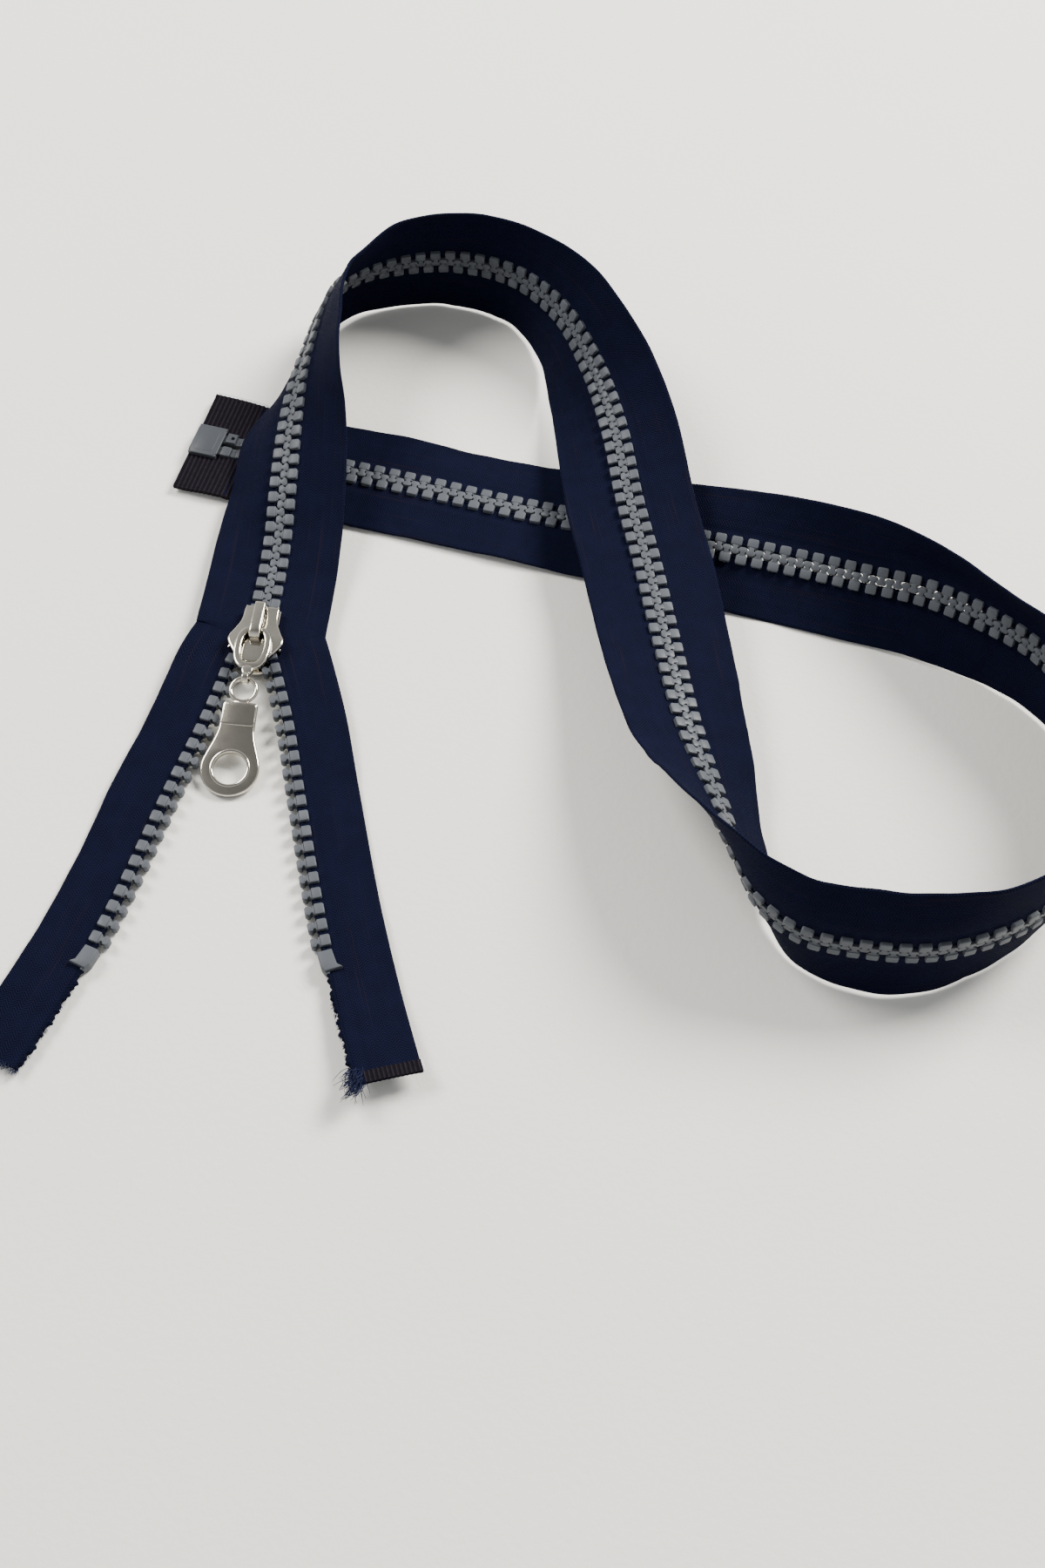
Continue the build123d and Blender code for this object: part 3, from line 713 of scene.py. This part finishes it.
def make_teeth(side, name, tooth):
    """A tape's teeth in three rows: closed chain, round the slider, and open leg. Gives their end."""
    route = ROUTES[side]
    start = CHAIN_START + (0.0 if side == LEFT else PITCH / 2)
    count = int((route.length - CHAIN_START - TAILS[side]) // PITCH)
    marks = steps(0.0, route.length, PITCH)
    closed_end = int((marks[route.values(marks)[:, 1] > SLIDER_AHEAD].max() - CHAIN_START) // PITCH)
    slider_end = closed_end + int((SLIDER_AHEAD + SLIDER_BEHIND) // PITCH)
    for stretch, first, last in (
        ("closed", 0, closed_end),
        ("slider", closed_end, slider_end),
        ("open", slider_end, count),
    ):
        label = f"{name}_teeth_{stretch}"
        lengths = start + np.arange(first, last) * PITCH
        mesh = row_mesh(f"{label}_moulded", side, lengths, tooth, TOOTH_TILT)
        add_piece(f"{label}_moulded", mesh, TOOTH_LOOK, "chain", [label])
    return start + count * PITCH


def make_top_stop(side, name, at):
    """A leaning block, with a heel at its lower end."""

    def turned(outline):
        return [(x, -side * y) for x, y in outline][::-side]

    block = [(0.0, -1.75), (2.9, -1.9), (3.3, 1.5), (4.3, 2.35), (3.2, 2.5), (0.75, 2.7), (0.2, 1.6)]
    heel = [(0.2, 1.4), (1.9, 1.4), (1.6, 3.1), (0.9, 3.1)]
    solid = joined(prism(turned(block), -1.3, 1.3, 0.22, 3), prism(turned(heel), -1.0, 0.7, 0.2, 3))
    mesh = row_mesh(f"{name}_top_stop_moulded", side, [at], solid)
    add_piece(f"{name}_top_stop_moulded", mesh, TOOTH_LOOK, "chain", [f"{name}_top_stop"])


TOOTH = tooth_shape()
for side, name in SIDE_NAMES.items():
    teeth_end = make_teeth(side, name, TOOTH)
    make_top_stop(side, name, teeth_end + STOP_GAP)


# ---- retainer box and pins ----
BOX_HALF = 1.3
BOX_ROOM = 0.72
PIN_OFFSET = 1.75
PIN_MIDDLE = 4.55
PIN_LENGTH = 11.5
PIN_END = 8.8
LUG_AT = 5.05
LUG_WIDTH, LUG_LENGTH = 2.7, 2.3
# The box's own Y runs towards the teeth where INTO_CHAIN is 1, and away from them where it is -1.
origin, along_y = place(LEFT, [BOX_AT], np.array([[0, 0, 0], [0, 1, 0]]))[0]
INTO_CHAIN = 1 if along_y[0] > origin[0] else -1


def add_box_piece(label, *solids):
    mesh = row_mesh(f"{label}_moulded", LEFT, [BOX_AT], joined(*solids))
    add_piece(f"{label}_moulded", mesh, BOX_LOOK, "chain", [label])


def make_box():
    """Two faces, side walls, a wall at the end away from the teeth, and a raised panel on one face."""
    wall_at = (BOX_WIDTH - BOX_WALL) / 2
    wall_half = BOX_HALF - 0.1
    add_box_piece(
        "retainer_box",
        oblong(0, 0, BOX_WIDTH, BOX_LENGTH, -BOX_HALF, -BOX_ROOM, 0.22),
        oblong(0, 0, BOX_WIDTH, BOX_LENGTH, BOX_ROOM, BOX_HALF, 0.22),
        oblong(-wall_at, 0, BOX_WALL, BOX_LENGTH - 0.2, -wall_half, wall_half, 0.15),
        oblong(wall_at, 0, BOX_WALL, BOX_LENGTH - 0.2, -wall_half, wall_half, 0.15),
        oblong(0, -INTO_CHAIN * 2.4, BOX_WIDTH - 0.4, 1.8, -wall_half, wall_half, 0.15),
        oblong(0, -INTO_CHAIN * 0.2, 6.6, 4.6, -BOX_HALF - 0.04, -1.1, 0.1),
    )


def holed_lug(x, y):
    """A block with a small hole right through it."""
    a, b = LUG_WIDTH / 2, LUG_LENGTH / 2
    block = [(x - a, y - b), (x + a, y - b), (x + a, y + b), (x - a, y + b)]
    return plate([block, circle(x, y + INTO_CHAIN * 0.3, 0.42, 20)], -1.2, 1.0, 0.18)


def make_pin(label, offset, holed):
    """A flat pin beside the chain centre, with a lug at the box's mouth and a block at its end."""
    lug_x, lug_y = offset * 1.12, INTO_CHAIN * LUG_AT
    if holed:
        lug = holed_lug(lug_x, lug_y)
    else:
        lug = oblong(lug_x, lug_y, LUG_WIDTH, LUG_LENGTH, -1.15, 1.0, 0.25)
    add_box_piece(
        label,
        oblong(offset, INTO_CHAIN * PIN_MIDDLE, 2.4, PIN_LENGTH, -0.65, 0.65, 0.3),
        lug,
        oblong(offset, INTO_CHAIN * PIN_END, 2.6, 2.8, -0.95, 0.85, 0.25),
    )


make_box()
make_pin("box_pin", PIN_OFFSET, True)
make_pin("insertion_pin", -PIN_OFFSET, False)


# ---- films ----
FILM_PAST_EDGE = 0.12
FILM_THICK = 0.09
CLEAR_HALF = 0.06


def add_film(label, side, start, end, material, rib, ribs_along=True):
    """Film on both faces of a tape and round its outer edge, with ribs across its length or its width."""
    outer = TAPE_EDGE + FILM_PAST_EDGE
    if ribs_along:
        lengths = steps(start, end, rib / 6)
        over = np.linspace(FILM_INNER, outer, 16)
    else:
        lengths = steps(start, end, 0.2)
        over = np.linspace(FILM_INNER, outer, int((outer - FILM_INNER) / rib) * 6)
    distances = np.concatenate([over, over[::-1]])
    if ribs_along:
        wave = 0.08 * np.cos(lengths[:, None] * 2 * pi / rib)
    else:
        wave = 0.07 * np.cos(distances[None, :] * 2 * pi / rib)
    heights = tape_half(np.minimum(distances, TAPE_EDGE - 0.4))[None, :] + FILM_THICK + wave
    heights[:, len(over):] *= -1
    mesh = strip_mesh(f"{label}_ribbed", side, lengths, distances, heights)
    add_piece(f"{label}_ribbed", mesh, material, "chain", [label])


def add_clear_edge(name, side, start, end, width):
    """The clear, slightly crinkled rim of a film, beyond the tape's outer edge."""
    lengths = steps(start, end, 0.5)
    over = np.linspace(TAPE_EDGE - 0.1, TAPE_EDGE + width, 8)
    distances = np.concatenate([over, over[::-1]])
    heights = np.repeat([CLEAR_HALF, -CLEAR_HALF], len(over))
    crinkle = 0.05 * np.sin(lengths * 3.1)
    mesh = strip_mesh(name, side, lengths, distances, heights[None, :] + crinkle[:, None])
    add_piece(name, mesh, CLEAR_LOOK, "chain")


END_LEFT, END_RIGHT = ROUTES[LEFT].length, ROUTES[RIGHT].length
for side, name in SIDE_NAMES.items():
    add_film(f"box_film_{name}", side, 0.0, FILM_LENGTH, FILM_LOOK, BOX_RIB)
add_film("end_film_right", RIGHT, END_RIGHT - END_FILM_LENGTH, END_RIGHT, END_FILM_LOOK, END_RIB, False)
add_clear_edge("clear_film_box", LEFT, 0.2, 15.0, 1.1)
add_clear_edge("clear_film_end", RIGHT, END_RIGHT - 2.6, END_RIGHT - 0.1, 0.6)


# ---- frayed threads ----
THREAD_RADIUS = 0.08
THREAD_RINGS = 7
THREAD_SIDES = 5


def thread_mesh(name, starts, ways, lengths):
    """Short curling threads as thin tubes."""
    turn = turns(THREAD_SIDES)[:, None]
    points, faces = [], []
    for start, way, length in zip(starts, ways, lengths):
        way = unit(way)
        curl = unit(np.cross(way, RANDOM.normal(0, 1, 3)))
        other = np.cross(way, curl)
        t = np.linspace(0, 1, THREAD_RINGS)[:, None]
        line = start + way * length * t + curl * length * 0.22 * np.sin(t * RANDOM.uniform(1.5, 3.5))
        line[:, 2] = np.maximum(line[:, 2], THREAD_RADIUS * 1.5)
        thick = THREAD_RADIUS * (1 - 0.5 * t)
        ring = curl * np.cos(turn) + other * np.sin(turn)
        faces += tube_faces(THREAD_RINGS, THREAD_SIDES, len(points) * THREAD_RINGS * THREAD_SIDES)
        points.append((line[:, None] + ring[None] * thick[:, None]).reshape(-1, 3))
    return mesh_from(name, np.vstack(points), faces, 80.0)


def fray(name, side, between, at, spread, count, length, sideways):
    """Threads from the cut end of a tape, between two distances from the chain centre."""
    over = RANDOM.uniform(*between, count)
    roots = at - RANDOM.uniform(0, spread, count)
    point, edgeward, normal, _ = ROUTES[side].frames(roots, side)
    heading = np.cross(edgeward, normal) * side
    starts = point + edgeward * over[:, None] + normal * RANDOM.uniform(-0.2, 0.2, count)[:, None]
    ways = heading * (0.35 + RANDOM.uniform(0, 1, count))[:, None]
    ways -= edgeward * (sideways + RANDOM.normal(0, 0.35, count))[:, None]
    ways += normal * RANDOM.normal(0, 0.2, count)[:, None]
    mesh = thread_mesh(name, starts, ways, RANDOM.uniform(0.5, 1, count) * length)
    add_piece(name, mesh, THREAD_LOOK, "chain")


fray("frayed_end_right", RIGHT, (0.9, 3.4), END_RIGHT, spread=4.2, count=190, length=4.2, sideways=0.75)
fray("frayed_edge_right", RIGHT, (0.9, 1.3), END_RIGHT - 2, spread=18.0, count=70, length=0.9, sideways=1.0)
fray("frayed_end_left", LEFT, (1.0, 13.5), END_LEFT + 0.3, spread=0.8, count=120, length=1.5, sideways=0.1)
fray("frayed_edge_left", LEFT, (0.9, 1.2), END_LEFT - 1, spread=14.0, count=40, length=0.6, sideways=1.0)


# ---- slider: its local Y runs from the open legs' side to the closed chain's side ----
CAVITY_HALF = 1.45
WING_TOP = 2.65
WING_ROUND = 0.42
BRIDGE_HALF = 1.15
BRIDGE_FOOT = WING_TOP - 0.2
LINK_PIVOT = (0.0, 0.4, 3.55)
LINK_TILT = radians(2.0)
EYE_Y = -12.2
TAB_TILT = radians(12.2)
RING_RADIUS = 2.65
PLATE_TOP = -5.5
HOLE_Y = PLATE_TOP - 14.7
HOLE_RADIUS = 3.45

heading = radians(SLIDER_HEADING)
SLIDER_FRAME = Matrix(
    (
        (cos(heading), sin(heading), 0, SLIDER_POINT[0] - CENTRE[0]),
        (-sin(heading), cos(heading), 0, SLIDER_POINT[1] - CENTRE[1]),
        (0, 0, 1, SLIDER_POINT[2] - CENTRE[2]),
        (0, 0, 0, 1),
    )
)
LINK_FRAME = SLIDER_FRAME @ Matrix.Translation(LINK_PIVOT) @ Matrix.Rotation(LINK_TILT, 4, "X")
EYE = Vector(LINK_PIVOT) + Vector((0, EYE_Y * cos(LINK_TILT), EYE_Y * sin(LINK_TILT)))
TAB_FRAME = SLIDER_FRAME @ Matrix.Translation(EYE) @ Matrix.Rotation(TAB_TILT, 4, "X")
# A plate drawn in this plane stands on edge along the slider: its X is the slider's Y, its Y is Z.
SIDE_ON = Matrix(((0, 0, 1, 0), (1, 0, 0, 0), (0, 1, 0, 0), (0, 0, 0, 1)))


def add_metal(name, body, matrix, solids, replaced, material=NICKEL):
    mesh = mesh_from(name, *moved(joined(*solids), matrix), 40.0)
    add_piece(name, mesh, material, body, [replaced])


def rail(turn, low, high):
    """The rim along one side of a wing, that keeps the teeth in the channel."""
    channel = [(3.3, 7.2), (3.4, 2.2), (3.95, 0.0), (4.65, -2.0), (5.1, -3.1)]
    inner = [(turn * x, y) for x, y in channel]
    outer = [(turn * (x + 0.65), y) for x, y in reversed(channel)]
    return prism((inner + outer)[::-turn], low, high, 0.12)


def make_slider_body():
    """Two wings joined by the divider, with a rail down each side of each wing."""
    wing = curve_points(
        mirrored(
            [
                (2.9, 7.55),
                (3.65, 7.15),
                (3.72, 5.6),
                (4.0, 3.4),
                (5.0, 1.1),
                (5.85, -0.6),
                (5.85, -1.9),
                (5.0, -3.5),
                (3.9, -5.1),
                (2.6, -6.6),
                (1.2, -7.1),
            ]
        ),
        6,
    )
    pawl_hole = [(-0.65, 4.05), (0.65, 4.05), (0.65, 2.75), (-0.65, 2.75)]
    divider = mirrored([(0.1, -2.9), (0.55, -4.2), (1.1, -5.6), (1.25, -6.5)])
    solids = [
        plate([wing, pawl_hole], CAVITY_HALF, WING_TOP, WING_ROUND, 4),
        plate([wing], -WING_TOP, -CAVITY_HALF, WING_ROUND, 4),
        prism(divider, -CAVITY_HALF - 0.1, CAVITY_HALF + 0.1, 0.15),
    ]
    for turn in (1, -1):
        solids += [rail(turn, 0.5, CAVITY_HALF + 0.2), rail(turn, -CAVITY_HALF - 0.2, -0.5)]
    add_metal("slider_body_plated", "slider", SLIDER_FRAME, solids, "slider_body")


def make_bridge():
    """A strap over the top wing, with a foot at each end."""
    edge = curve_points(
        [
            (7.25, BRIDGE_FOOT, 1),
            (7.3, 4.3),
            (6.7, 5.25),
            (5.6, 5.42),
            (2.5, 5.45),
            (-0.5, 5.35),
            (-1.6, 4.8),
            (-2.05, 3.9),
            (-2.1, BRIDGE_FOOT, 1),
            (-1.15, BRIDGE_FOOT, 1),
            (-1.1, 3.7),
            (-0.6, 4.4),
            (0.6, 4.52),
            (3.0, 4.55),
            (5.6, 4.5),
            (6.2, 4.0),
            (6.3, BRIDGE_FOOT, 1),
        ],
        6,
    )
    strap = plate([edge], -BRIDGE_HALF, BRIDGE_HALF, 0.3, 4)
    add_metal("slider_bridge_plated", "slider", SLIDER_FRAME @ SIDE_ON, [strap], "slider_bridge")


def make_lock():
    """The pawl that drops between the teeth, and the leaf spring that presses on it."""
    pawl = [
        oblong(0, 3.4, 1.0, 1.0, 1.05, 2.85, 0.12),
        oblong(0, 3.4, 1.6, 2.4, 2.75, 3.35, 0.15),
    ]
    add_metal("lock_pawl_steel", "pawl", SLIDER_FRAME, pawl, "lock_pawl", SPRING_STEEL)
    foot = WING_TOP - 0.1
    top = [(6.2, foot, 1), (6.2, 3.9), (5.6, 4.12), (2.6, 3.76, 1)]
    under = [(2.6, 3.58, 1), (5.4, 3.9), (6.0, 3.6), (6.02, foot, 1)]
    leaf = plate([curve_points(top + under, 6)], -0.7, 0.7, 0.05, 1)
    side_on = SLIDER_FRAME @ SIDE_ON
    add_metal("lock_spring_leaf", "slider", side_on, [leaf], "lock_spring", SPRING_STEEL)


def make_link():
    """An oval ring under the bridge, a neck, and an eye for the tab's ring."""
    oval = mirrored(
        [(1.3, 0.6), (2.7, -0.15), (3.6, -1.9), (3.85, -4.4), (3.6, -6.9), (2.7, -8.9), (1.2, -9.85)]
    )
    hole = mirrored(
        [(0.9, -0.6), (1.75, -1.3), (2.25, -2.9), (2.3, -4.8), (2.1, -6.6), (1.5, -7.9), (0.6, -8.35)]
    )
    neck = mirrored([(0.5, -9.3), (1.1, -9.8), (1.2, -10.5), (0.75, -11.5), (0.45, -12.0)])
    eye = plate([circle(EYE_Y, 0, 1.33, 40), circle(EYE_Y, 0, 0.75, 32)], -0.7, 0.7, 0.22)
    solids = [
        plate([curve_points(oval, 7), curve_points(hole, 7)], -0.55, 0.55, 0.36, 4),
        plate([curve_points(neck, 5)], -0.5, 0.62, 0.3),
        moved(eye, SIDE_ON),
    ]
    add_metal("pull_link_plated", "link", LINK_FRAME, solids, "pull_link")


def make_tab():
    """A wire ring through the eye, and a plate with a lip, a waist and a round holed end."""
    edge = mirrored(
        [
            (2.9, PLATE_TOP, 1),
            (3.4, PLATE_TOP - 0.25, 1),
            (3.62, PLATE_TOP - 0.8),
            (3.66, PLATE_TOP - 3.6),
            (3.72, PLATE_TOP - 6.3),
            (4.35, PLATE_TOP - 8.8),
            (5.3, HOLE_Y + 3.3),
            (5.95, HOLE_Y + 1.2),
            (6.02, HOLE_Y - 0.8),
            (5.5, HOLE_Y - 2.6),
            (4.35, HOLE_Y - 4.25),
            (2.6, HOLE_Y - 5.45),
            (0.85, HOLE_Y - 5.99),
        ]
    )
    lip = mirrored(
        [
            (2.7, PLATE_TOP - 0.25, 1),
            (3.3, PLATE_TOP - 0.6, 1),
            (3.42, PLATE_TOP - 3.4),
            (3.35, PLATE_TOP - 5.1),
            (1.2, PLATE_TOP - 5.3),
        ]
    )
    ring = [(x, y, 0) for x, y in circle(0, -RING_RADIUS, RING_RADIUS, 72)]
    rim = [(x, y, 0.5) for x, y in circle(0, HOLE_Y, HOLE_RADIUS + 0.4, 72)]
    solids = [
        rod(ring, 0.45, 16),
        plate([curve_points(edge, 7), circle(0, HOLE_Y, HOLE_RADIUS, 64)], -0.65, 0.6, 0.34, 4),
        plate([curve_points(lip, 5)], 0.2, 0.72, 0.16),
        rod(rim, 0.34, 12, 0.55),
        oblong(0, PLATE_TOP - 0.35, 3.0, 0.9, -0.5, 0.5, 0.2),
    ]
    add_metal("pull_tab_plated", "tab", TAB_FRAME, solids, "pull_tab")


make_slider_body()
make_bridge()
make_lock()
make_link()
make_tab()


# ---- floor, lights and camera: metres, watts and degrees, the camera's place and lens in millimetres ----
FLOOR_SIZE = 6.0
LIGHT_SIZE = 0.5
CAMERA_MM = Vector((57.407, -241.332, 332.0)) - Vector(CENTRE.tolist())
CAMERA_TILT = 32
LENS_MM = 44
SENSOR_MM = 36


def make_floor():
    bpy.ops.mesh.primitive_plane_add(size=FLOOR_SIZE, location=(0, 0, 0))
    floor = bpy.context.object
    floor.name = "floor"
    floor.data.materials.append(floor_look("pale_floor"))


def make_world(low, overhead):
    """A soft room, brighter low down than overhead."""
    world = bpy.data.worlds.new("soft_room")
    world.use_nodes = True
    tree = world.node_tree
    back = tree.nodes["Background"]
    back.inputs["Color"].default_value = (0.96, 0.97, 1.0, 1.0)
    way = tree.nodes.new("ShaderNodeTexCoord")
    split = tree.nodes.new("ShaderNodeSeparateXYZ")
    ramp = tree.nodes.new("ShaderNodeMapRange")
    for socket, value in (("From Min", 0.45), ("From Max", 1.0), ("To Min", low), ("To Max", overhead)):
        ramp.inputs[socket].default_value = value
    tree.links.new(way.outputs["Generated"], split.inputs[0])
    tree.links.new(split.outputs[2], ramp.inputs["Value"])
    tree.links.new(ramp.outputs[0], back.inputs["Strength"])
    bpy.context.scene.world = world


def add_light(name, spot, power, tint):
    """A soft round light, turned towards the zipper."""
    light = bpy.data.lights.new(name, "AREA")
    light.shape = "DISK"
    light.size = LIGHT_SIZE
    light.energy = power
    light.color = tint
    holder = bpy.data.objects.new(name, light)
    bpy.context.scene.collection.objects.link(holder)
    holder.location = spot
    holder.rotation_mode = "QUATERNION"
    holder.rotation_quaternion = (-Vector(spot)).to_track_quat("-Z", "Y")


def make_camera():
    camera = bpy.data.objects.new("camera", bpy.data.cameras.new("camera"))
    bpy.context.scene.collection.objects.link(camera)
    camera.location = CAMERA_MM * MM
    camera.rotation_euler = (radians(CAMERA_TILT), 0, 0)
    camera.data.lens = LENS_MM
    camera.data.sensor_width = SENSOR_MM
    camera.data.clip_start = 10 * MM
    bpy.context.scene.camera = camera


make_floor()
make_world(0.85, 0.2)
add_light("key", (0.7, 0.5, 0.75), 32.0, (1.0, 0.97, 0.92))
add_light("second_key", (-0.65, 0.4, 0.8), 14.0, (1.0, 0.97, 0.93))
make_camera()
